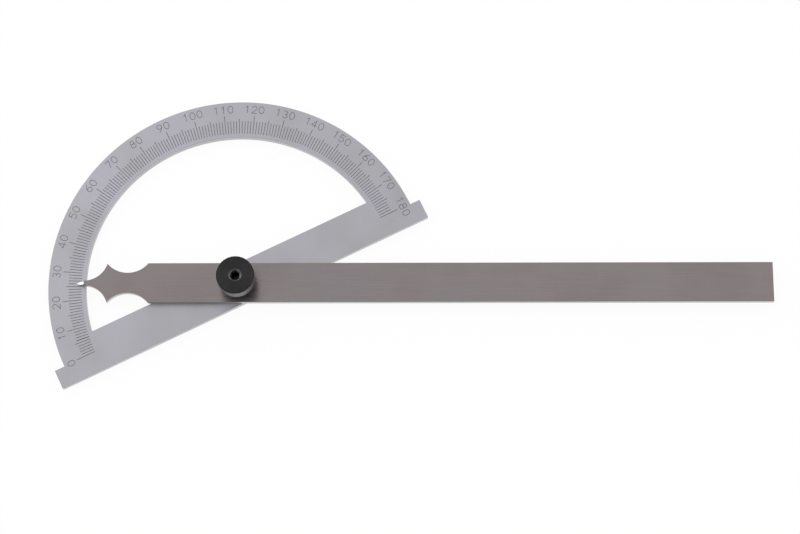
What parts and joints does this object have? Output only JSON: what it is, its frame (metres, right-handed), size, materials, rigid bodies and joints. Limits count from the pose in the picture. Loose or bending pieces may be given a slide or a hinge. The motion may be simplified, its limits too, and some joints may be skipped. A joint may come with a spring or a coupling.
{
  "type": "angle finder",
  "caption": "Half-ring protractor on a straight base bar, with a long pointed arm that swings on a central stud and is clamped by a tall knurled nut.",
  "frame": {"origin": "on the pivot axis, in the back face of the protractor plate, where the flat head of the stud is flush with it", "axes": "+X along the arm to its square end, +Z out of the graduated face along the pivot axis, +Y towards the arc at right angles to the arm"},
  "size_m": [0.2715, 0.1111, 0.0183],
  "materials": {
    "plate_steel": "pale satin chrome on steel, with dark engraved lines",
    "stud_steel": "turned bright steel",
    "arm_steel": "ground steel with a dull mirror sheen, darker than the plate",
    "washer_steel": "bright zinc-plated steel",
    "nut_steel": "black-oxided steel, smooth end faces, diamond knurl"
  },
  "bodies": {
    "protractor": {"protractor_plate": "plate_steel", "pivot_stud": "stud_steel"},
    "arm": {"arm": "arm_steel"},
    "washer": {"washer": "washer_steel"},
    "nut": {"lock_nut": "nut_steel"}
  },
  "joints": [
    {"name": "arm_swing", "type": "hinge", "parent": "protractor", "child": "arm", "pos_m": [0, 0, 0], "axis": [0, 0, 1], "continuous": true},
    {"name": "nut_lift", "type": "slide", "parent": "protractor", "child": "washer", "axis": [0, 0, 1], "range_m": [0, 0.0014]},
    {"name": "nut_turn", "type": "hinge", "parent": "washer", "child": "nut", "pos_m": [0, 0, 0], "axis": [0, 0, 1], "range_deg": [0, 720]}
  ],
  "couplings": [
    {"joint": "nut_lift", "follows": "nut_turn", "m_per_rad": 0.0001114}
  ]
}
